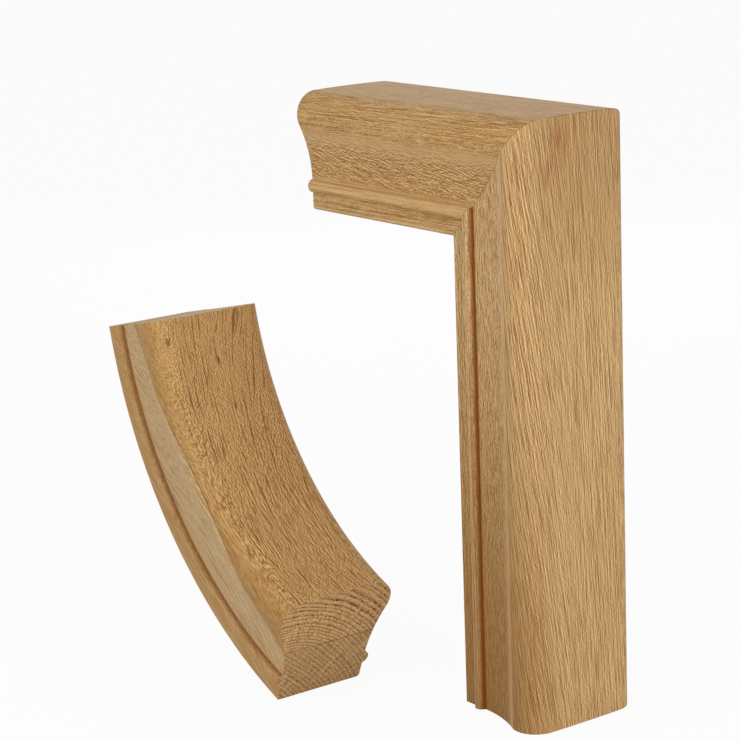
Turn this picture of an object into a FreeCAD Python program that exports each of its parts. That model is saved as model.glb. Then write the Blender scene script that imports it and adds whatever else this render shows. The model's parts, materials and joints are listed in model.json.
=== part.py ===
import FreeCAD, Part
import math
import os

import Sketcher
from FreeCAD import Placement, Rotation, Vector

# Handrail gooseneck fitting in oak, all of one rail moulding.
# The gooseneck is a short level leg mitred to a long drop leg.
# The easing is a curved length that stands beside it.
# Frame: +Z up, origin at the middle of the drop leg's foot, +X towards the top of the rail on the drop leg.
# The level leg runs towards -X. Lengths are in millimetres and angles in degrees.

SIZES = {
    # Rail moulding, seen on its end: heights are measured from the rail's flat bottom.
    "rail_width": 66.7,
    "rail_depth": 60.5,
    "base_width": 51.0,
    "base_height": 8.8,
    "base_corner": 1.0,
    "bead_height": 6.8,
    "bead_projection": 2.9,
    "cove_radius": 68.0,
    "roll_radius": 11.7,
    "crown_rise": 0.3,
    # Gooseneck legs, each measured along the top of the rail from its square end to the corner.
    "drop_height": 293.0,
    "level_length": 171.5,
    # Dowels through the mitre: dowel_height is their height in the section.
    "dowel_diameter": 10.0,
    "dowel_length": 50.0,
    "dowel_height": 25.0,
    "dowel_spacing": 26.0,
    "dowel_glue_gap": 0.1,
    "dowel_end_gap": 1.0,
    # Easing: a flat joint parts its two boards, and the upper one is thinnest at the middle of the bend.
    "easing_inner_radius": 175.0,
    "easing_sweep": 55.5,
    "upper_board_thinnest": 6.9,
    # Place of the easing on the floor beside the gooseneck, and how far its upper end leans back.
    "easing_setback": 64.0,
    "easing_side_gap": 2.0,
    "easing_lean": 12.0,
}
MITRE_ANGLE = 45.0
# A cut that takes away less than this share of a body is taken as a miss.
LEAST_CUT = 1e-6

doc = FreeCAD.newDocument("gooseneck")
sheet = doc.addObject("Spreadsheet::Sheet", "Sizes")
for row, (alias, value) in enumerate(SIZES.items(), start=1):
    sheet.set(f"A{row}", alias)
    sheet.set(f"B{row}", str(value))
    sheet.setAlias(f"B{row}", alias)
doc.recompute()


def size(alias):
    """The number that the sheet holds for an alias."""
    return float(sheet.get(alias))


def cell(text):
    """Turn the aliases in an expression into references to the sheet."""
    words = text.split()
    return " ".join(f"Sizes.{word}" if word in SIZES else word for word in words)


def bind(target, **properties):
    """Bind each property of a feature to an expression of the sheet's aliases."""
    for name, text in properties.items():
        target.setExpression(name, cell(text))


def new_body(label):
    body = doc.addObject("PartDesign::Body", label)
    body.Label = label
    return body


def origin_feature(body, role):
    return next(item for item in body.Origin.OriginFeatures if item.Role == role)


def new_sketch(body, name, plane, axis=Vector(0, 0, 1), angle="0", place=("0", "0", "0")):
    """A sketch on an origin plane, turned about an axis of that plane and moved, all by expressions."""
    sketch = body.newObject("Sketcher::SketchObject", f"{body.Name}_{name}")
    sketch.AttachmentSupport = [(origin_feature(body, plane), "")]
    sketch.MapMode = "FlatFace"
    sketch.AttachmentOffset = Placement(Vector(), Rotation(axis, 1.0))
    sketch.setExpression("AttachmentOffset.Rotation.Angle", cell(angle))
    for coordinate, text in zip("xyz", place):
        sketch.setExpression(f"AttachmentOffset.Base.{coordinate}", cell(text))
    return sketch


def dimension(sketch, kind, *where, by):
    """Add a driving constraint and bind it to an expression. It starts at the size that the drawing has."""
    index = sketch.addConstraint(Sketcher.Constraint(kind, *where))
    sketch.setExpression(f"Constraints[{index}]", cell(by))


# Height of the rail's widest line.
ROLL_HEIGHT = "rail_depth - crown_rise - roll_radius"
# Points of a sketch element, as the sketcher numbers them.
START, END, CENTRE = range(1, 4)
H_AXIS, V_AXIS = range(-1, -3, -1)
ORIGIN = (H_AXIS, START)


def section_points():
    """Where the right half of the moulding's outline turns, worked out from the sheet."""
    half_base = size("base_width") / 2
    quirk = Vector(half_base, size("base_height") + size("bead_height"), 0)
    roll_height = size("rail_depth") - size("crown_rise") - size("roll_radius")
    roll = Vector(size("rail_width") / 2 - size("roll_radius"), roll_height, 0)
    # The cove passes through the quirk and touches the roll: two circles give its centre.
    to_quirk = size("cove_radius")
    to_roll = size("cove_radius") + size("roll_radius")
    span = roll - quirk
    along = (to_quirk**2 - to_roll**2 + span.Length**2) / (2 * span.Length)
    aside = math.sqrt(to_quirk**2 - along**2)
    forward = Vector(span).normalize()
    cove = quirk + forward * along + Vector(forward.y, -forward.x, 0) * aside
    # The crown touches both rolls and reaches the rail's full depth on the centre line.
    below = size("rail_depth") - roll.y
    crown_radius = (roll.x**2 + below**2 - size("roll_radius") ** 2) / (2 * size("crown_rise"))
    crown = Vector(0, size("rail_depth") - crown_radius, 0)
    return {
        "base": Vector(half_base, 0, 0),
        "bead_foot": Vector(half_base, size("base_height"), 0),
        "bead_top": Vector(half_base + size("bead_projection"), quirk.y - size("bead_height") / 2, 0),
        "quirk": quirk,
        "cove": cove,
        "cove_end": cove + (roll - cove).normalize() * size("cove_radius"),
        "roll": roll,
        "roll_end": roll + (roll - crown).normalize() * size("roll_radius"),
        "crown": crown,
    }


def mirrored(point, side):
    return Vector(side * point.x, point.y, 0)


def circle_arc(centre, first, last):
    """The anticlockwise arc about a centre from one point to another."""
    circle = Part.Circle(centre, Vector(0, 0, 1), (first - centre).Length)
    return Part.ArcOfCircle(circle, circle.parameter(first), circle.parameter(last))


def draw_side(sketch, points, side):
    """One side of the moulding, from the base up to the roll. Returns the elements by name."""
    at = {name: mirrored(point, side) for name, point in points.items()}

    def arc(centre, lower, upper, outward):
        ends = (at[lower], at[upper]) if outward == side else (at[upper], at[lower])
        return circle_arc(at[centre] if isinstance(centre, str) else centre, *ends)

    corner = size("base_corner")
    at["corner_low"] = at["base"] - Vector(side * corner, 0, 0)
    at["corner_high"] = at["base"] + Vector(0, corner, 0)
    bead = Part.Arc(at["bead_foot"], at["bead_top"], at["quirk"]).toShape().Curve
    part = {
        "corner": sketch.addGeometry(Part.LineSegment(at["corner_low"], at["corner_high"])),
        "base": sketch.addGeometry(Part.LineSegment(at["corner_high"], at["bead_foot"])),
        "bead": sketch.addGeometry(arc(bead.Center, "bead_foot", "quirk", 1)),
        "cove": sketch.addGeometry(arc("cove", "quirk", "cove_end", -1)),
        "roll": sketch.addGeometry(arc("roll", "cove_end", "roll_end", 1)),
        "bead_top": sketch.addGeometry(Part.Point(at["bead_top"]), True),
    }
    # Arcs run anticlockwise, so which end is the lower one depends on the side.
    low, high = (START, END) if side > 0 else (END, START)
    join = sketch.addConstraint
    join(Sketcher.Constraint("Coincident", part["corner"], END, part["base"], START))
    join(Sketcher.Constraint("Coincident", part["base"], END, part["bead"], low))
    join(Sketcher.Constraint("Coincident", part["bead"], high, part["cove"], high))
    join(Sketcher.Constraint("Tangent", part["cove"], low, part["roll"], low))
    join(Sketcher.Constraint("Vertical", part["base"]))
    join(Sketcher.Constraint("Vertical", part["bead"], low, part["bead"], high))
    join(Sketcher.Constraint("PointOnObject", part["bead_top"], START, part["bead"]))
    join(Sketcher.Constraint("Horizontal", part["bead_top"], START, part["bead"], CENTRE))
    sign = "" if side > 0 else "- "
    corner_ends = (part["corner"], START, part["corner"], END)
    dimension(sketch, "DistanceX", *corner_ends, side * corner, by=f"{sign}base_corner")
    dimension(sketch, "DistanceY", *corner_ends, corner, by="base_corner")
    dimension(sketch, "DistanceX", *ORIGIN, part["base"], END, at["base"].x, by=f"{sign}base_width / 2")
    dimension(sketch, "DistanceY", *ORIGIN, part["base"], END, at["bead_foot"].y, by="base_height")
    bead_ends = (part["bead"], low, part["bead"], high)
    dimension(sketch, "DistanceY", *bead_ends, size("bead_height"), by="bead_height")
    bead_by = f"{sign}( base_width / 2 + bead_projection )"
    dimension(sketch, "DistanceX", *ORIGIN, part["bead_top"], START, at["bead_top"].x, by=bead_by)
    dimension(sketch, "Radius", part["cove"], size("cove_radius"), by="cove_radius")
    dimension(sketch, "Radius", part["roll"], size("roll_radius"), by="roll_radius")
    dimension(sketch, "DistanceY", *ORIGIN, part["roll"], CENTRE, at["roll"].y, by=ROLL_HEIGHT)
    roll_by = f"{sign}( rail_width / 2 - roll_radius )"
    dimension(sketch, "DistanceX", *ORIGIN, part["roll"], CENTRE, at["roll"].x, by=roll_by)
    return part


def rail_section(body, plane, **attachment):
    """The moulding's closed outline: across the rail along the sketch's X, up from its bottom along Y."""
    sketch = new_sketch(body, "section", plane, **attachment)
    points = section_points()
    right = draw_side(sketch, points, 1)
    left = draw_side(sketch, points, -1)
    corner = Vector(size("base_width") / 2 - size("base_corner"), 0, 0)
    bottom = sketch.addGeometry(Part.LineSegment(mirrored(corner, -1), corner))
    roll_end = points["roll_end"]
    crown = sketch.addGeometry(circle_arc(points["crown"], roll_end, mirrored(roll_end, -1)))
    apex = sketch.addGeometry(Part.Point(Vector(0, size("rail_depth"), 0)), True)
    join = sketch.addConstraint
    join(Sketcher.Constraint("Coincident", bottom, END, right["corner"], START))
    join(Sketcher.Constraint("Coincident", bottom, START, left["corner"], START))
    join(Sketcher.Constraint("Horizontal", bottom))
    join(Sketcher.Constraint("PointOnObject", bottom, END, H_AXIS))
    join(Sketcher.Constraint("Tangent", crown, START, right["roll"], END))
    join(Sketcher.Constraint("Tangent", crown, END, left["roll"], START))
    join(Sketcher.Constraint("PointOnObject", apex, START, V_AXIS))
    join(Sketcher.Constraint("PointOnObject", apex, START, crown))
    dimension(sketch, "DistanceY", *ORIGIN, apex, START, size("rail_depth"), by="rail_depth")
    return sketch


def outline(sketch, corners):
    """A closed outline of straight lines whose corners are placed by expressions of the sheet."""
    count = len(corners)
    start = [Vector(math.cos(turn), math.sin(turn), 0) * size("rail_width")
             for turn in (2 * math.pi * i / count for i in range(count))]
    lines = [sketch.addGeometry(Part.LineSegment(start[i], start[(i + 1) % count])) for i in range(count)]
    for i, (across, up) in enumerate(corners):
        sketch.addConstraint(Sketcher.Constraint("Coincident", lines[i - 1], END, lines[i], START))
        dimension(sketch, "DistanceX", *ORIGIN, lines[i], START, start[i].x, by=across)
        dimension(sketch, "DistanceY", *ORIGIN, lines[i], START, start[i].y, by=up)


def pad(body, sketch, length, symmetric=False):
    feature = body.newObject("PartDesign::Pad", f"{body.Name}_pad")
    feature.Profile = sketch
    feature.SideType = "Symmetric" if symmetric else "One side"
    bind(feature, Length=length)
    return feature


def pocket(body, name, sketch, length, symmetric=False, reverse=False):
    """Cut a sketch out of a body and stop if the cut takes nothing away."""
    doc.recompute()
    before = body.Shape.Volume
    feature = body.newObject("PartDesign::Pocket", f"{body.Name}_{name}")
    feature.Profile = sketch
    feature.SideType = "Symmetric" if symmetric else "One side"
    feature.Reversed = reverse
    bind(feature, Length=length)
    doc.recompute()
    if body.Shape.Volume > before * (1 - LEAST_CUT):
        raise RuntimeError(f"{feature.Name} cuts nothing")


# Expressions that several pieces share.
FREE_END = "rail_depth / 2 - level_length"
OUTER_RADIUS = "easing_inner_radius + rail_depth"
CUT_WIDTH = "rail_width * 2"
# The mitre runs from the inner corner of the L to its outer corner.
INNER = ("- rail_depth / 2", "drop_height - rail_depth")
OUTER = ("rail_depth / 2", "drop_height")
# Beyond both corners by one rail width, so that the cut clears the moulding.
PAST_INNER = tuple(f"{text} - rail_width" for text in INNER)
PAST_OUTER = tuple(f"{text} + rail_width" for text in OUTER)


def mitre(body, corner):
    """Cut a leg at the mitre plane, on the side where the given corner lies."""
    sketch = new_sketch(body, "mitre", "XZ_Plane")
    outline(sketch, [PAST_INNER, PAST_OUTER, corner])
    pocket(body, "mitre_cut", sketch, CUT_WIDTH, symmetric=True)


def dowel_sketch(body, name, sides, radius):
    """Circles in the mitre plane, with the sketch's normal into the drop leg and its X down the mitre."""
    place = (OUTER[0], "0", OUTER[1])
    turn = f"90 + {MITRE_ANGLE}"
    sketch = new_sketch(body, name, "XY_Plane", axis=Vector(0, 1, 0), angle=turn, place=place)
    for side in sides:
        centre = Vector(size("rail_depth"), side * size("dowel_spacing") / 2, 0)
        circle = Part.Circle(centre, Vector(0, 0, 1), size("dowel_diameter") / 2)
        item = sketch.addGeometry(circle)
        sign = "" if side > 0 else "- "
        down_mitre = f"( rail_depth - dowel_height ) / sin( {MITRE_ANGLE} )"
        dimension(sketch, "DistanceX", *ORIGIN, item, CENTRE, centre.x, by=down_mitre)
        dimension(sketch, "DistanceY", *ORIGIN, item, CENTRE, centre.y, by=f"{sign}dowel_spacing / 2")
        dimension(sketch, "Radius", item, circle.Radius, by=radius)
    return sketch


def dowel_holes(body, reverse):
    """Two blind holes, square to the mitre, each taking half a dowel and a little glue."""
    sketch = dowel_sketch(body, "holes", (-1, 1), "dowel_diameter / 2 + dowel_glue_gap")
    pocket(body, "dowel_holes", sketch, "dowel_length / 2 + dowel_end_gap", reverse=reverse)


def make_drop_leg():
    body = new_body("drop_leg")
    # Turned so that the bottom of the rail faces -X, towards the level leg's side.
    section = rail_section(body, "XY_Plane", angle="-90", place=("- rail_depth / 2", "0", "0"))
    pad(body, section, "drop_height")
    mitre(body, (PAST_INNER[0], PAST_OUTER[1]))
    dowel_holes(body, reverse=True)
    return body


def make_level_leg():
    body = new_body("level_leg")
    section = rail_section(body, "YZ_Plane", place=("0", INNER[1], FREE_END))
    pad(body, section, "level_length")
    mitre(body, (PAST_OUTER[0], PAST_INNER[1]))
    dowel_holes(body, reverse=False)
    return body


def make_dowel(label, side):
    body = new_body(label)
    section = dowel_sketch(body, "round", (side,), "dowel_diameter / 2")
    pad(body, section, "dowel_length", symmetric=True)
    return body


def make_easing_board(label, upper):
    """The curved rail, kept on one side of the flat joint between its boards.

    The body's own origin is the centre of the curve. The upper end lies on its XY plane, and the rail curves
    down from there about the Y axis.
    """
    body = new_body(label)
    section = rail_section(body, "XY_Plane", angle="-90", place=(f"- ( {OUTER_RADIUS} )", "0", "0"))
    bend = body.newObject("PartDesign::Revolution", f"{label}_bend")
    bend.Profile = section
    bend.ReferenceAxis = (origin_feature(body, "Y_Axis"), [""])
    bend.Reversed = True
    bind(bend, Angle="easing_sweep")
    # The sketch's Y points out along the radius at the middle of the bend.
    sketch = new_sketch(body, "joint", "XZ_Plane", angle="90 + easing_sweep / 2")
    joint = "easing_inner_radius + upper_board_thinnest"
    past = f"{joint} + {OUTER_RADIUS}" if upper else f"{joint} - ( {OUTER_RADIUS} )"
    left, right = f"- ( {OUTER_RADIUS} )", OUTER_RADIUS
    outline(sketch, [(left, joint), (right, joint), (right, past), (left, past)])
    pocket(body, "joint_cut", sketch, CUT_WIDTH, symmetric=True)
    stand(body)
    return body


def stand(body):
    """Stand the easing on the lower edge of its lower end, leaning back, beside the gooseneck."""
    body.Placement = Placement(Vector(), Rotation(Vector(0, -1, 0), 1.0))
    bind(body, **{"Placement.Rotation.Angle": "easing_lean"})
    foot_turn = "( easing_sweep + easing_lean )"
    radius = f"( {OUTER_RADIUS} )"
    bind(body, **{
        "Placement.Base.x": f"- rail_depth / 2 - easing_setback + {radius} * cos{foot_turn}",
        "Placement.Base.y": "- ( rail_width + easing_side_gap )",
        "Placement.Base.z": f"{radius} * sin{foot_turn}",
    })


pieces = [
    make_drop_leg(),
    make_level_leg(),
    make_dowel("near_dowel", -1),
    make_dowel("far_dowel", 1),
    make_easing_board("easing_upper_board", True),
    make_easing_board("easing_lower_board", False),
]
doc.recompute()

for item in doc.Objects:
    if "Invalid" in item.State or "Error" in item.State:
        raise RuntimeError(f"{item.Label} failed: {item.State}")
for piece in pieces:
    if piece.Shape.isNull() or not piece.Shape.isValid() or len(piece.Shape.Solids) != 1:
        raise RuntimeError(f"{piece.Label} is not one valid solid")

os.makedirs("parts", exist_ok=True)
for piece in pieces:
    piece.Shape.exportStep(f"parts/{piece.Label}.step")
    print(f"{piece.Label}: {piece.Shape.Volume:.0f} mm3")
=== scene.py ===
import json
import math

import bpy
from mathutils import Matrix, Vector


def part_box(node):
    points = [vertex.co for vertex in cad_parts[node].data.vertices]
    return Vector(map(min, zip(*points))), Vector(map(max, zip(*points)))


# Looks of a handrail gooseneck and its easing: bare, sanded oak on a pale floor.
# Places are in metres, as the frame has them. Inside the wood's materials they are in millimetres.
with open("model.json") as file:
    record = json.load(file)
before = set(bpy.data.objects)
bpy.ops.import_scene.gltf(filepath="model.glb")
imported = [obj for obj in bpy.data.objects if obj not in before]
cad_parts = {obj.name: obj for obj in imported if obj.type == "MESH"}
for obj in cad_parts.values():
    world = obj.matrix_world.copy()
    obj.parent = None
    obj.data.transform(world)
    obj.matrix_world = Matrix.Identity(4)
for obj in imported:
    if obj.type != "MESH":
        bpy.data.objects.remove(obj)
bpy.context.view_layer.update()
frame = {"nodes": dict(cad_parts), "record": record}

MM = 0.001
ACROSS = Vector((0, 1, 0))

# View of the photograph.
CAMERA_AZIMUTH = 53.158
CAMERA_ELEVATION = 13.383
CAMERA_ROLL = -2.098
CAMERA_LENS = 122.04
CAMERA_SENSOR = 36.0
CAMERA_DISTANCE = 1.2036
CAMERA_AIM = Vector((-0.06026, -0.05434, 0.16750))

# Studio: each lamp's place in metres and power in watts, the light from all round, and the floor.
WHITE = (1, 1, 1, 1)
SOFTBOX_SIZE = 0.8
SOFTBOXES = {
    "right_softbox": ((1.1, -0.2, 0.5), 5.2),
    "left_softbox": ((-0.1, -1.0, 0.75), 3.7),
    "rear_softbox": ((-1.0, 0.8, 0.6), 2.5),
}
AMBIENT = 0.48
FLOOR_SIZE = 12
FLOOR_COLOUR = (0.93, 0.93, 0.93, 1)
FLOOR_ROUGHNESS = 0.9
# How far the floor is whitened where it is seen. The rest of it shows the shadow.
FLOOR_WHITENED = 0.93

# Rail moulding, as the part's source has it. Heights are from the rail's flat bottom.
# The quirk is the groove above the bead, and the cove turns into the roll at the bend.
BASE_WIDTH = 51.0
BASE_HEIGHT = 8.8
QUIRK_HEIGHT = 15.6
BEND_HEIGHT = 43.4
# The roll's arc and its centre, on the near side and above the rail's bottom.
ROLL_RADIUS = 11.7
ROLL_SIDE = -21.65
ROLL_HEIGHT = 48.8
# The flat joint between the easing's boards, at its nearest to the centre of the curve.
JOINT_RADIUS = 181.9
# The roll turns into the slightly crowned top between these heights.
ROLL_TOP = 56.0
CROWN_TOP = 60.2

leg_low, leg_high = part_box("drop_leg")
LEG_BACK = leg_low.x / MM
LEG_FRONT = leg_high.x / MM
RAIL_DEPTH = LEG_FRONT - LEG_BACK
DROP_HEIGHT = leg_high.z / MM
LEVEL_BOTTOM = DROP_HEIGHT - RAIL_DEPTH


def mount(name):
    """Place, in millimetres, and outward direction of one of the record's mounts."""
    found = next(item for item in frame["record"]["mounts"] if item["name"] == name)
    return Vector(found["pos_m"]) / MM, Vector(found["axis"])


def easing_curve():
    """Centre of the easing's curve, where the planes of its two end faces meet."""
    upper, upper_out = mount("easing_upper_end")
    lower, lower_out = mount("easing_lower_end")
    down = ACROSS.cross(upper_out)
    aside = ACROSS.cross(lower_out)
    gap = lower - upper
    reach = (gap.x * aside.z - gap.z * aside.x) / (down.x * aside.z - down.z * aside.x)
    return upper + down * reach


CURVE = easing_curve()
EASING_TOP, TOP_OUT = mount("easing_upper_end")
EASING_FOOT, FOOT_OUT = mount("easing_lower_end")
# Radius of the curve at the rail's flat bottom.
CURVE_BOTTOM = (EASING_TOP - CURVE).length + RAIL_DEPTH / 2
# The easing's boards are straight, so its curve cuts their grain at a changing angle.
EASING_GRAIN = (-TOP_OUT).slerp(FOOT_OUT, 0.7)
# The piths of its boards, by their place in the section of its lower end: aside, and above its bottom.
UPPER_PITH = (-31, -20)
LOWER_PITH = (-83, -73)
UPPER_RING = 2.6
LOWER_RING = 2.2
# Radius from which the upper board's rings widen outwards.
UPPER_CORE = 12


def srgb(red, green, blue):
    """A colour given as the eye sees it, 0 to 255, in the linear form that shaders take."""
    def linear(level):
        share = level / 255
        return share / 12.92 if share <= 0.04045 else ((share + 0.055) / 1.055) ** 2.4
    return (linear(red), linear(green), linear(blue), 1.0)


# Tones of the wood: of planed faces, of what hot cutters burnt, with painted shade for the creases, and of
# sawn ends.
OAK = {
    "pale": srgb(207, 168, 114),
    "warm": srgb(200, 159, 104),
    "late": srgb(140, 92, 34),
    "light": srgb(238, 207, 158),
    "pore": srgb(104, 58, 16),
    # Burn marks, darker still as painted shade in the quirk and the corner below the bead.
    "burnt_and_shaded": srgb(136, 80, 14),
    "end": srgb(206, 162, 102),
    "end_ring": srgb(132, 84, 36),
    "ray": srgb(228, 196, 146),
    "hole": srgb(70, 34, 8),
}
LEVEL_TONES = OAK | {
    "pale": srgb(198, 157, 101),
    "warm": srgb(192, 150, 92),
    "light": srgb(226, 190, 138),
}
UPPER_TONES = OAK | {
    "pale": srgb(208, 165, 105),
    "warm": srgb(198, 152, 92),
    "light": srgb(226, 188, 132),
}
LOWER_TONES = OAK | {
    "pale": srgb(204, 175, 130),
    "warm": srgb(194, 161, 114),
    "late": srgb(160, 122, 74),
    "light": srgb(220, 193, 150),
    "end": srgb(188, 150, 98),
    "end_ring": srgb(126, 86, 42),
    "ray": srgb(212, 180, 132),
}
BEECH = OAK | {
    "pale": srgb(222, 188, 146),
    "warm": srgb(212, 174, 130),
    "pore": srgb(168, 122, 80),
}

# Tints laid over those tones in places: how strong each is at most, and its colour.
DROP_EDGE_PORES = (0.7, srgb(128, 72, 24))
# Painted highlight along the drop leg's bend.
DROP_BEND_HIGHLIGHT = (0.42, srgb(216, 186, 138))
DROP_BEAD = (0.3, srgb(226, 188, 134))
DROP_UPPER_FRONT = (0.27, srgb(140, 98, 56))
DROP_BASE_LINES = (0.6, srgb(138, 92, 46))
DROP_SMUDGES = (0.6, srgb(150, 92, 38))
# Painted shade on the level leg's top.
LEVEL_TOP_SHADE = (0.4, srgb(168, 132, 84))
# Painted highlight along the level leg's bend.
LEVEL_BEND_HIGHLIGHT = (0.35, srgb(214, 181, 132))
LEVEL_QUIRK = (0.2, srgb(192, 146, 80))
# Painted light on the level leg's bead and lower edge, making up for the shade that falls there.
LEVEL_BEAD_LIGHT = (0.4, srgb(234, 196, 138))
LEVEL_LOWER_EDGE_LIGHT = (0.3, srgb(234, 200, 148))
LEVEL_BASE_LINES = (0.45, srgb(138, 92, 46))
EASING_ROLL = (0.4, srgb(148, 102, 44))
# Tints whose strength changes over the piece.
# Painted shade, darkening the drop leg's near side and back towards its foot.
DROP_FOOT_SHADE = srgb(136, 90, 32)
EASING_BASE = srgb(176, 128, 66)

# Grain of each leg and of the dowels: a point of the pith, and how wide the rings are.
DROP_PITH = (-150, 105, 0)
DROP_RING = 1.6
LEVEL_PITH = (0, 75, 140)
LEVEL_RING = 2.0
DOWEL_PITH = (60, 40, 320)
DOWEL_RING = 2.5
DOWEL_GRAIN = (1, 0, -1)
# The drop leg's grain slants on its front, and stands nearly upright at its far edge and on its sides.
DROP_SLANTED = (0, 0.146, -1)
DROP_UPRIGHT = (0, 0.055, -1)
# The level leg's grain slants in the cove, and runs straight elsewhere.
LEVEL_STRAIGHT = (1, 0, 0.02)
LEVEL_SLANTED = (1, 0, -0.22)
# Directions across the grain in the faces that show.
DROP_SIDE_ACROSS = (1, 0, 0)
LEVEL_ACROSS = (0, 0.5, 1)
LEVEL_COVE_ACROSS = (0, -0.3, 1)

# Fine lines along the grain: how wide they are, and how far a dark one lies from its pale one.
LINE_WIDTH = 0.42
LINE_STEP = 0.7
# Length of the long, middling and short lines, with the shift that sets each kind's places apart.
LINE_LENGTHS = ((60, 11.0), (6.0, 0.0), (1.5, 31.0))
# How strong the long, middling and short lines are on each face.
PLAIN_LINES = (0.43, 0.28, 0.35)
DROP_FRONT_LINES = (0.36, 0.29, 0.25)
DROP_SIDE_LINES = (0.36, 0.43, 0.54)
LEVEL_LINES = (0.32, 0.26, 0.32)
LEVEL_COVE_LINES = (0.4, 0.6, 0.75)

# Two faint smudges near the top of the drop leg's front: place across, height, half width and half height.
SMUDGE_PLACES = ((-11, 281, 8, 14), (-18.5, 268, 9, 13))

# Bare wood: how rough it is, how much rougher in a pore, how glossy, and how deep a pore is, in metres.
WOOD_ROUGHNESS = 0.62
PORE_ROUGHNESS = 0.12
WOOD_GLOSS = 0.15
PORE_DEPTH = 0.0003
BUMP_STRENGTH = 0.25


class Field:
    """What changes over a surface: a socket, with arithmetic where it carries a number."""

    def __init__(self, nodes, socket):
        self.nodes = nodes
        self.socket = socket

    def __add__(self, other):
        return self.nodes.math("ADD", self, other)

    def __radd__(self, other):
        return self.nodes.math("ADD", other, self)

    def __sub__(self, other):
        return self.nodes.math("SUBTRACT", self, other)

    def __rsub__(self, other):
        return self.nodes.math("SUBTRACT", other, self)

    def __mul__(self, other):
        return self.nodes.math("MULTIPLY", self, other)

    def __rmul__(self, other):
        return self.nodes.math("MULTIPLY", other, self)

    def __truediv__(self, other):
        return self.nodes.math("DIVIDE", self, other)

    def __abs__(self):
        return self.nodes.math("ABSOLUTE", self)

    def root(self):
        return self.nodes.math("SQRT", self)

    def fraction(self):
        return self.nodes.math("FRACT", self)

    def rise(self, low, high):
        """0 below low, 1 above high, and a smooth step between."""
        settings = {"interpolation_type": "SMOOTHSTEP"}
        sockets = {"Value": self, "From Min": low, "From Max": high}
        return self.nodes.node("ShaderNodeMapRange", settings, sockets)

    def fall(self, low, high):
        """1 below low, 0 above high, and a smooth step between."""
        return 1 - self.rise(low, high)

    def near(self, value, inner, outer):
        """1 within the inner distance of a value, 0 beyond the outer one."""
        return abs(self - value).fall(inner, outer)

    def output(self, name):
        """Another output of the node that this one comes from."""
        return Field(self.nodes, self.socket.node.outputs[name])


class Nodes:
    """A node tree that is written as expressions."""

    def __init__(self, tree):
        self.tree = tree

    def feed(self, node, sockets, out=0):
        """Set a node's sockets to values or link them to fields, and give one of its outputs."""
        for name, value in sockets.items():
            if isinstance(value, Field):
                self.tree.links.new(value.socket, node.inputs[name])
            else:
                node.inputs[name].default_value = value
        return Field(self, node.outputs[out])

    def node(self, kind, settings=None, sockets=None, out=0):
        """Add a node: its settings first, then the values or links of its sockets."""
        made = self.tree.nodes.new(kind)
        for name, value in (settings or {}).items():
            setattr(made, name, value)
        return self.feed(made, sockets or {}, out)

    def math(self, operation, *values):
        return self.node("ShaderNodeMath", {"operation": operation}, dict(enumerate(values)))


class Paint(Nodes):
    """A material of one of the woods, with places on its piece in millimetres."""

    def __init__(self, name):
        self.material = bpy.data.materials.new(name)
        self.material.use_nodes = True
        super().__init__(self.material.node_tree)
        place = self.node("ShaderNodeTexCoord", out="Object")
        self.point = self.node("ShaderNodeVectorMath", {"operation": "SCALE"}, {0: place, "Scale": 1 / MM})
        self.x = self.along((1, 0, 0))
        self.y = self.along((0, 1, 0))
        self.z = self.along((0, 0, 1))

    def along(self, direction, point=None):
        """How far the surface, or another point, lies along a direction."""
        sockets = {0: point or self.point, 1: direction}
        return self.node("ShaderNodeVectorMath", {"operation": "DOT_PRODUCT"}, sockets, out="Value")

    def vector(self, x, y, z):
        return self.node("ShaderNodeCombineXYZ", None, {"X": x, "Y": y, "Z": z})

    def noise(self, vector, detail=2.0):
        return self.node("ShaderNodeTexNoise", None, {"Vector": vector, "Scale": 1.0, "Detail": detail})

    def patches(self, size):
        """Soft patches of about a size, from 0 to 1."""
        return self.noise(self.vector(self.x / size, self.y / size, self.z / size))

    def cells(self, vector):
        """Distance to the nearest of many scattered points, and a random number for that point."""
        distance = self.node("ShaderNodeTexVoronoi", None, {"Vector": vector, "Scale": 1.0}, out="Distance")
        chance = self.node("ShaderNodeSeparateColor", None, {"Color": distance.output("Color")})
        return distance, chance

    def mix(self, share, first, second):
        """A colour part of the way from the first to the second."""
        return self.node("ShaderNodeMix", {"data_type": "RGBA"}, {0: share, 6: first, 7: second}, out=2)

    def tint(self, mask, colour, tint):
        """Lay a tint over a colour where the mask is above 0."""
        strength, tone = tint
        return self.mix(mask * strength, colour, tone)

    def blend(self, share, first, second):
        """Part of the way from the first face's colour and depth to the second's."""
        colour, depth = first
        other_colour, other_depth = second
        return self.mix(share, colour, other_colour), depth + (other_depth - depth) * share

    def finish(self, colour, depth):
        """The material, with its colour, and with its depth shown by bump and roughness."""
        bump_sockets = {"Height": depth, "Strength": BUMP_STRENGTH, "Distance": PORE_DEPTH}
        self.feed(self.tree.nodes["Principled BSDF"], {
            "Base Color": colour,
            "Roughness": WOOD_ROUGHNESS - depth * PORE_ROUGHNESS,
            "Specular IOR Level": WOOD_GLOSS,
            "Normal": self.node("ShaderNodeBump", None, bump_sockets),
        })
        return self.material


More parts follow.
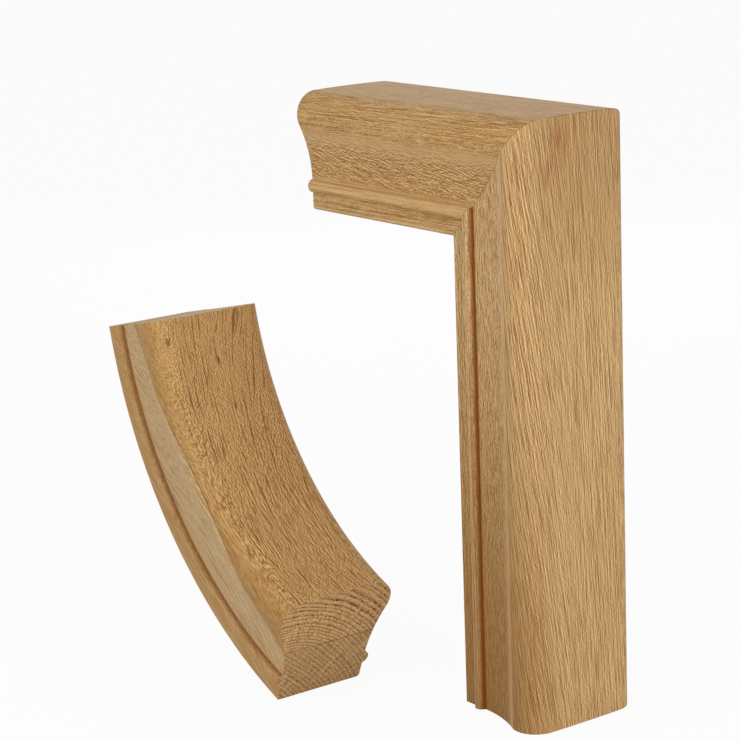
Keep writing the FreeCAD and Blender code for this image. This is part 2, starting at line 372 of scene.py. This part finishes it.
class Grain:
    """The wood of one board: growth rings round its pith, and marks that run along its grain.
    Places on the board are counted along the grain (run), away from the pith (out) and to the side."""

    # How far the rings wander from true circles, and over what width and length.
    WANDER = 5
    WANDER_WIDTH = 40
    WANDER_LENGTH = 150
    # Wide and narrow rings take turns: by how many rings they shift, and over what thickness.
    YEARS_SHIFT = 2
    YEARS_THICK = 7
    # Patches of paler and warmer wood.
    CLOUD_WIDTH = 25
    CLOUD_LENGTH = 90

    def __init__(self, paint, node, lengthways, pith, ring, seed, across=ACROSS, point=None, core=None):
        """lengthways runs along the grain, and across lies in the face that shows.
        pith is a point of the tree's middle line, and the rings are ring wide in the middle of the board.
        With a core they widen outwards from that radius. The seed sets this board's marks apart."""
        lengthways = Vector(lengthways).normalized()
        low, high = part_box(node)
        from_pith = (low + high) / (2 * MM) - Vector(pith)
        from_pith -= from_pith.project(lengthways)
        outward = from_pith.normalized()
        sideways = lengthways.cross(outward)
        step = Vector(across).normalized() * LINE_STEP
        self.paint = paint
        self.seed = seed
        self.run = paint.along(lengthways, point)
        self.out = paint.along(outward, point)
        self.side = paint.along(sideways, point)
        self.out_step = step.dot(outward)
        self.side_step = step.dot(sideways)
        out = self.out - Vector(pith).dot(outward)
        side = self.side - Vector(pith).dot(sideways)
        wander = (self.fibre(self.WANDER_WIDTH, self.WANDER_LENGTH) - 0.5) * self.WANDER
        self.radius = (out * out + side * side).root() + wander
        self.turn = paint.math("ARCTAN2", side, out) * from_pith.length
        # Each ring starts sharply with early wood, whose largest pores lie in a row at its start.
        phase = self.ring_phase(ring, from_pith.length, core)
        self.early = phase.rise(0.0, 0.1) * phase.fall(0.35, 0.75)
        self.row = phase.rise(0.0, 0.1) * phase.fall(0.2, 0.45)
        cloud_out = self.out / self.CLOUD_WIDTH
        cloud_side = self.side / self.CLOUD_WIDTH + seed
        cloud_spot = paint.vector(cloud_out, cloud_side, self.run / self.CLOUD_LENGTH)
        self.cloud = paint.noise(cloud_spot).rise(0.3, 0.7)

    def ring_phase(self, ring, middle, core):
        """How far through its ring a point lies, from 0 to 1."""
        count = self.radius / ring
        if core is not None:
            count = self.paint.math("LOGARITHM", self.radius - core, math.e) * ((middle - core) / ring)
        years = self.paint.noise(self.paint.vector(self.radius / self.YEARS_THICK, self.seed, 0))
        return (count + years * self.YEARS_SHIFT).fraction()

    def spot(self, width, length, shift):
        """The place on the board, counted in marks of a width and a length."""
        out = self.out / width + (self.seed + shift)
        return self.paint.vector(out, self.side / width, self.run / length)

    def pores(self, width, length, share, follow):
        """Dashes along the grain. A share of them is kept, and they follow the rings' early wood so far."""
        distance, chance = self.paint.cells(self.spot(width, length, 0.0))
        kept = (self.early * follow + (share - follow * 0.4) - chance).rise(0.0, 0.1)
        return distance.fall(0.32, 0.5) * kept

    def rows(self, width, length, shift=19.0, size=0.5):
        """Dashes in one row to a ring."""
        distance, chance = self.paint.cells(self.spot(width, length, shift))
        return distance.fall(size * 0.6, size) * (self.row - chance * 0.7).rise(0.0, 0.2)

    def fibre(self, width, length, shift=0.0):
        """Soft lines along the grain, from 0 to 1."""
        return self.paint.noise(self.spot(width, length, shift))

    def lines(self, width, length, shift):
        """Fine lines along the grain, each dark one beside a pale one, about 0."""
        place = self.spot(width, length, shift)
        step = (self.out_step / width, self.side_step / width, 0)
        beside = self.paint.node("ShaderNodeVectorMath", {"operation": "ADD"}, {0: place, 1: step})
        return self.paint.noise(place) - self.paint.noise(beside)

    def checks(self, pitch, length):
        """Thin broken lines a pitch apart, where sheets that stand out from the pith meet the face."""
        height = self.radius / 30 + self.seed
        drift = self.paint.noise(self.paint.vector(self.turn / (pitch * 2), height, self.run / 60))
        phase = (self.turn / pitch + drift * 3).fraction()
        broken = self.paint.noise(self.paint.vector(self.turn / pitch, height + 5, self.run / length))
        return phase.near(0.5, 0.03, 0.14) * broken.rise(0.38, 0.5)

    def rays(self, thick, tall):
        """Thin sheets that stand out from the pith."""
        spot = self.paint.vector(self.turn / thick, self.radius / tall + self.seed, self.run / tall)
        return self.paint.noise(spot, detail=1).rise(0.5, 0.65)


def planed(grain, tones, lines=PLAIN_LINES, contrast=0.85, pore_tint=0.6, pore_width=0.5, pore_share=0.4,
           follow=0.3, checks=None):
    """Colour and depth of a planed face: tinted bands, pale and dark lines of fibre, open pores and checks.
    lines and contrast are for the fibre, and pore_share and follow say which pores there are."""
    paint = grain.paint
    fibre = 0.5
    for strength, (length, shift) in zip(lines, LINE_LENGTHS):
        fibre = fibre + grain.lines(LINE_WIDTH, length, shift) * strength
    bands = grain.fibre(1.2, 140, 5.0).rise(0.4, 0.7)
    pores = grain.pores(pore_width, pore_width * 40, pore_share, follow)
    colour = paint.mix(grain.cloud, tones["pale"], tones["warm"])
    colour = paint.mix(bands * 0.08 + grain.early * 0.05, colour, tones["late"])
    colour = paint.mix(fibre.fall(0.37, 0.5) * contrast, colour, tones["late"])
    colour = paint.mix(fibre.rise(0.5, 0.63) * contrast, colour, tones["light"])
    colour = paint.mix(pores * pore_tint, colour, tones["pore"])
    if checks is not None:
        colour = paint.mix(grain.checks(1.9, 14) * checks, colour, tones["pore"])
    return colour, pores * -1.0 + fibre * 0.25


def sawn(grain, tones, dots=0.8, rays=0.45):
    """Colour of a sawn end: rings of open pores and thin pale rays."""
    paint = grain.paint
    speckle = grain.fibre(0.6, 9.0, 3.0)
    open_patches = grain.fibre(6.0, 90, 9.0).rise(0.4, 0.56) * 0.65 + 0.35
    colour = paint.mix(speckle.rise(0.5, 0.6) * 0.8, tones["end"], tones["ray"])
    colour = paint.mix(speckle.fall(0.4, 0.5) * 0.9, colour, tones["end_ring"])
    colour = paint.mix(grain.early * 0.45, colour, tones["end_ring"])
    colour = paint.mix(grain.rays(0.45, 18) * rays, colour, tones["ray"])
    holes = grain.rows(1.0, 9.0, shift=7.0, size=0.62) * dots * open_patches
    return paint.mix(holes, colour, tones["hole"])


def end_face(paint, place, out):
    """1 on a flat end face and 0 elsewhere."""
    return paint.along(out).near(place.dot(out), 0.03, 0.08)


def burn_and_crease_shade(paint, colour, aside, height, groove, corner):
    """Brown where hot cutters rubbed, darkened further as painted shade: the quirk above the bead and the
    corner below it.
    """
    from_base = aside - BASE_WIDTH / 2
    above_quirk = height - (QUIRK_HEIGHT - 0.9)
    above_corner = height - BASE_HEIGHT
    from_quirk = (from_base * from_base + above_quirk * above_quirk).root()
    from_corner = (from_base * from_base + above_corner * above_corner).root()
    colour = paint.mix(from_quirk.fall(0.8, 2.4) * groove, colour, OAK["burnt_and_shaded"])
    return paint.mix(from_corner.fall(0.3, 1.3) * corner, colour, OAK["burnt_and_shaded"])


def mitre_seam(paint, colour):
    """The thin glue line round the mitre, darker in places."""
    off = (paint.z - DROP_HEIGHT - paint.x + LEG_FRONT) * math.sqrt(0.5)
    patchy = paint.patches(9).rise(0.35, 0.65) * 0.6 + 0.15
    return paint.mix(off.near(0, 0.05, 0.3) * patchy, colour, OAK["pore"])


def smudge(across, height, place, level, wide, tall):
    """A soft oval patch."""
    aside = (across - place) / wide
    above = (height - level) / tall
    return (aside * aside + above * above).root().fall(0.1, 1.0)


def drop_girth(paint, height):
    """Place across the drop leg's front, with the near roll laid out flat beside it."""
    turned = paint.math("ARCTAN2", ROLL_SIDE - paint.y, height - ROLL_HEIGHT)
    on_roll = paint.math("MAXIMUM", turned, 0) * ROLL_RADIUS
    return paint.math("MAXIMUM", paint.y, ROLL_SIDE) - on_roll


def drop_oak():
    paint = Paint("drop_oak")
    aside = abs(paint.y)
    height = paint.x - LEG_BACK
    girth = drop_girth(paint, height)
    # The front's grain runs on round the near roll, and turns upright in streaks towards the far edge.
    laid_flat = paint.vector(LEG_FRONT, girth, paint.z)
    slanted = Grain(paint, "drop_leg", DROP_SLANTED, DROP_PITH, DROP_RING, seed=3.1, point=laid_flat)
    upright = Grain(paint, "drop_leg", DROP_UPRIGHT, DROP_PITH, DROP_RING, seed=8.4)
    side = Grain(paint, "drop_leg", DROP_UPRIGHT, DROP_PITH, DROP_RING, seed=8.4, across=DROP_SIDE_ACROSS)
    streaks = (upright.fibre(1.5, 25, 4.0) - 0.5) * 0.8
    far = (paint.y.rise(-24, 8) + streaks).rise(0.35, 0.65)
    cove = height.fall(BEND_HEIGHT - 1, BEND_HEIGHT + 1)
    near_front = planed(slanted, OAK, DROP_FRONT_LINES)
    far_front = planed(upright, OAK, DROP_FRONT_LINES)
    front = paint.blend(far, near_front, far_front)
    colour, depth = paint.blend(cove, front, planed(side, OAK, DROP_SIDE_LINES, contrast=0.8))
    # Rows of dark pores along the near edge.
    near_edge = girth.fall(-34, -20) * height.rise(BEND_HEIGHT, BEND_HEIGHT + 2)
    colour = paint.tint(slanted.rows(0.5, 16) * near_edge, colour, DROP_EDGE_PORES)
    # Painted shade: the leg's near side and back are darker and browner towards its foot.
    foot_shade = height.fall(36, RAIL_DEPTH) * 0.2 + girth.fall(-36, -14) * 0.5 + 0.04
    colour = paint.mix(foot_shade * paint.z.fall(-20, 230), colour, DROP_FOOT_SHADE)
    # A painted highlight along the bend, paler along the bead, and darker at the top of the front.
    below_bend = height.rise(BEND_HEIGHT - 7, BEND_HEIGHT - 0.5)
    bend_highlight = below_bend * height.fall(BEND_HEIGHT + 0.2, BEND_HEIGHT + 2)
    colour = paint.tint(bend_highlight, colour, DROP_BEND_HIGHLIGHT)
    colour = paint.tint(height.near(BASE_HEIGHT + 3.4, 1.0, 3.4), colour, DROP_BEAD)
    colour = paint.tint(paint.z.rise(180, 272) * girth.rise(-34, -16), colour, DROP_UPPER_FRONT)
    # Dark lines along the bead and the base.
    base = height.fall(QUIRK_HEIGHT - 2, QUIRK_HEIGHT)
    base_lines = paint.noise(paint.vector(aside / 0.8, height / 0.8, paint.z / 180)).rise(0.52, 0.66)
    colour = paint.tint(base_lines * base, colour, DROP_BASE_LINES)
    # Burn marks and painted shade in the quirk and the corner below the bead.
    groove = paint.z.fall(20, 232) * 0.06 + 0.94
    colour = burn_and_crease_shade(paint, colour, aside, height, groove, corner=0.25)
    colour = mitre_seam(paint, colour)
    smudges = sum(smudge(girth, paint.z, *place) for place in SMUDGE_PLACES)
    on_front = height.rise(RAIL_DEPTH - 6, RAIL_DEPTH - 2)
    streaky = upright.fibre(0.7, 9.0, 2.0).rise(0.38, 0.6) * on_front
    colour = paint.tint(smudges * streaky, colour, DROP_SMUDGES)
    colour = paint.mix(end_face(paint, *mount("drop_foot")), colour, sawn(upright, OAK))
    return paint.finish(colour, depth)


def level_oak():
    paint = Paint("level_oak")
    aside = abs(paint.y)
    height = paint.z - LEVEL_BOTTOM
    straight = Grain(paint, "level_leg", LEVEL_STRAIGHT, LEVEL_PITH, LEVEL_RING, seed=7.7,
                     across=LEVEL_ACROSS)
    slanted = Grain(paint, "level_leg", LEVEL_SLANTED, LEVEL_PITH, LEVEL_RING, seed=13.2,
                    across=LEVEL_COVE_ACROSS)
    cove = height.rise(QUIRK_HEIGHT, QUIRK_HEIGHT + 3) * height.fall(35, BEND_HEIGHT)
    plain = planed(straight, LEVEL_TONES, LEVEL_LINES, contrast=0.8, pore_tint=0.45)
    hollow = planed(slanted, LEVEL_TONES, LEVEL_COVE_LINES, contrast=1.0, pore_width=0.4)
    colour, depth = paint.blend(cove, plain, hollow)
    # Darker and paler strips along the moulding, from its top down: painted shade on the top, a painted
    # highlight along the bend, a more orange strip above the quirk, and painted light on the bead and the
    # lower edge.
    colour = paint.tint(height.rise(RAIL_DEPTH - 1.4, RAIL_DEPTH - 0.3), colour, LEVEL_TOP_SHADE)
    # Painted highlight along the bend.
    colour = paint.tint(height.near(BEND_HEIGHT - 5, 1.0, 6.0), colour, LEVEL_BEND_HIGHLIGHT)
    colour = paint.tint(height.near(QUIRK_HEIGHT + 4, 2.0, 6.0), colour, LEVEL_QUIRK)
    # Painted light on the bead and the lower edge.
    colour = paint.tint(height.near(BASE_HEIGHT + 5, 2.0, 4.0), colour, LEVEL_BEAD_LIGHT)
    colour = paint.tint(height.fall(1, 5), colour, LEVEL_LOWER_EDGE_LIGHT)
    # Dark lines along the bead and the base.
    base = height.fall(QUIRK_HEIGHT, QUIRK_HEIGHT + 3)
    base_lines = paint.noise(paint.vector(paint.x / 160, aside / 0.6, height / 0.6)).rise(0.52, 0.66)
    colour = paint.tint(base_lines * base, colour, LEVEL_BASE_LINES)
    # Burn marks and painted shade in the quirk and the corner below the bead.
    colour = burn_and_crease_shade(paint, colour, aside, height, groove=0.03, corner=0.12)
    colour = mitre_seam(paint, colour)
    colour = paint.mix(end_face(paint, *mount("level_end")), colour, sawn(straight, OAK))
    return paint.finish(colour, depth)


def easing_pith(aside, height):
    """A point of the pith on the plane of the easing's lower end, by its place in the rail's section."""
    inward = FOOT_OUT.cross(ACROSS)
    return CURVE - inward * (CURVE_BOTTOM - height) + ACROSS * aside


def easing_rail(name):
    """A material for the easing, with its place across the rail and above the rail's bottom."""
    paint = Paint(name)
    x = paint.x - CURVE.x
    z = paint.z - CURVE.z
    return paint, abs(paint.y - CURVE.y), CURVE_BOTTOM - (x * x + z * z).root()


def easing_ends(paint, colour, sawn_colour):
    """Sawn wood on the easing's two ends, and the glue line between its boards."""
    ends = end_face(paint, EASING_FOOT, FOOT_OUT) + end_face(paint, EASING_TOP, TOP_OUT)
    colour = paint.mix(ends, colour, sawn_colour)
    middle = ((EASING_TOP + EASING_FOOT) / 2 - CURVE).normalized()
    joint = paint.along(middle).near(CURVE.dot(middle) + JOINT_RADIUS, 0.05, 0.4)
    patchy = paint.patches(11).rise(0.3, 0.6) * 0.4 + 0.4
    return paint.mix(joint * patchy, colour, OAK["pore"])


def easing_upper_oak():
    paint, _, height = easing_rail("easing_upper_oak")
    pith = easing_pith(*UPPER_PITH)
    grain = Grain(paint, "easing_upper_board", EASING_GRAIN, pith, UPPER_RING, seed=11.3, core=UPPER_CORE)
    # The checks and the short lines show on the crown, and the roll is plainer and browner.
    crown = height.rise(ROLL_TOP, CROWN_TOP)
    lines = (0.25, 0.6, crown * 0.45 + 0.3)
    contrast = crown * 0.35 + 0.55
    checks = crown * 0.6 + 0.15
    colour, depth = planed(grain, UPPER_TONES, lines, contrast, pore_width=0.4, follow=0.1, checks=checks)
    colour = paint.tint(height.fall(ROLL_TOP - 6, CROWN_TOP), colour, EASING_ROLL)
    dots = grain.radius.rise(50, 78) * 0.35 + 0.65
    colour = easing_ends(paint, colour, sawn(grain, UPPER_TONES, dots))
    return paint.finish(colour, depth)


def easing_lower_oak():
    paint, aside, height = easing_rail("easing_lower_oak")
    pith = easing_pith(*LOWER_PITH)
    up_side = EASING_GRAIN.cross(ACROSS)
    grain = Grain(paint, "easing_lower_board", EASING_GRAIN, pith, LOWER_RING, seed=17.9, across=up_side)
    colour, depth = planed(grain, LOWER_TONES, pore_share=0.3)
    mottled = grain.fibre(2.5, 25, 8.0).rise(0.35, 0.6) * 0.3 + 0.4
    base = height.rise(0.2, 1.2) * height.fall(QUIRK_HEIGHT - 1, QUIRK_HEIGHT)
    colour = paint.mix(base * mottled, colour, EASING_BASE)
    # Burn marks and painted shade in the quirk and the corner below the bead.
    colour = burn_and_crease_shade(paint, colour, aside, height, groove=0.75, corner=0.2)
    colour = easing_ends(paint, colour, sawn(grain, LOWER_TONES, dots=0.4, rays=0.5))
    return paint.finish(colour, depth)


def dowel_beech():
    paint = Paint("dowel_beech")
    grain = Grain(paint, "near_dowel", DOWEL_GRAIN, DOWEL_PITH, DOWEL_RING, seed=21.0)
    return paint.finish(*planed(grain, BEECH, follow=0.1))


def dress(material, *nodes):
    """Give CAD nodes a material, in place of the one that they came with."""
    for node in nodes:
        slots = frame["nodes"][node].data.materials
        slots.clear()
        slots.append(material)


def dress_wood():
    dress(drop_oak(), "drop_leg")
    dress(level_oak(), "level_leg")
    dress(easing_upper_oak(), "easing_upper_board")
    dress(easing_lower_oak(), "easing_lower_board")
    dress(dowel_beech(), "near_dowel", "far_dowel")


def place_camera():
    azimuth = math.radians(CAMERA_AZIMUTH)
    elevation = math.radians(CAMERA_ELEVATION)
    flat = math.cos(elevation)
    back = Vector((math.sin(azimuth) * flat, -math.cos(azimuth) * flat, math.sin(elevation)))
    right = Vector((math.cos(azimuth), math.sin(azimuth), 0))
    up = back.cross(right)
    turn = Matrix((right, up, back)).transposed() @ Matrix.Rotation(math.radians(CAMERA_ROLL), 3, "Z")
    camera = bpy.data.objects.new("camera", bpy.data.cameras.new("camera"))
    bpy.context.scene.collection.objects.link(camera)
    camera.data.sensor_width = CAMERA_SENSOR
    camera.data.lens = CAMERA_LENS
    camera.matrix_world = Matrix.Translation(CAMERA_AIM + back * CAMERA_DISTANCE) @ turn.to_4x4()
    bpy.context.scene.camera = camera


def softbox(name, place, power):
    """A square lamp, turned to the middle of the object."""
    lamp = bpy.data.lights.new(name, "AREA")
    lamp.size = SOFTBOX_SIZE
    lamp.energy = power
    holder = bpy.data.objects.new(name, lamp)
    bpy.context.scene.collection.objects.link(holder)
    holder.location = place
    holder.rotation_mode = "QUATERNION"
    holder.rotation_quaternion = (CAMERA_AIM - Vector(place)).to_track_quat("-Z", "Y")


def seen_directly(nodes):
    """1 for what the eye sees straight, mirrored or through glass, and 0 for light on the object."""
    straight = nodes.node("ShaderNodeLightPath", out="Is Camera Ray")
    mirrored = nodes.math("MAXIMUM", straight, straight.output("Is Glossy Ray"))
    return nodes.math("MAXIMUM", mirrored, straight.output("Is Transmission Ray"))


def show(nodes, output, share, lit, seen):
    """Put a share of the seen shader over the lit one, and lead them to the tree's output."""
    choice = nodes.node("ShaderNodeMixShader", None, {0: share, 1: lit, 2: seen})
    nodes.tree.links.new(choice.socket, nodes.tree.nodes[output].inputs["Surface"])


def light_studio():
    """Light from all round, seen as white, and the lamps."""
    world = bpy.data.worlds.new("studio")
    bpy.context.scene.world = world
    world.use_nodes = True
    nodes = Nodes(world.node_tree)
    ambient = nodes.feed(nodes.tree.nodes["Background"], {"Color": WHITE, "Strength": AMBIENT})
    white = nodes.node("ShaderNodeBackground", None, {"Color": WHITE, "Strength": 1.0})
    show(nodes, "World Output", seen_directly(nodes), ambient, white)
    for name, (place, power) in SOFTBOXES.items():
        softbox(name, place, power)


def lay_floor():
    """A pale floor, which is whitened where it is seen and keeps the object's shadow."""
    bpy.ops.object.select_all(action="DESELECT")
    bpy.ops.mesh.primitive_plane_add(size=FLOOR_SIZE, location=(0, 0, 0))
    floor = bpy.context.object
    floor.name = "floor"
    material = bpy.data.materials.new("floor_white")
    material.use_nodes = True
    nodes = Nodes(material.node_tree)
    surface = nodes.feed(nodes.tree.nodes["Principled BSDF"], {
        "Base Color": FLOOR_COLOUR,
        "Roughness": FLOOR_ROUGHNESS,
        "Specular IOR Level": 0.0,
    })
    white = nodes.node("ShaderNodeEmission", None, {"Color": WHITE, "Strength": 1.0})
    show(nodes, "Material Output", seen_directly(nodes) * FLOOR_WHITENED, surface, white)
    floor.data.materials.append(material)


dress_wood()
lay_floor()
light_studio()
place_camera()
bpy.context.scene.view_settings.view_transform = "Standard"
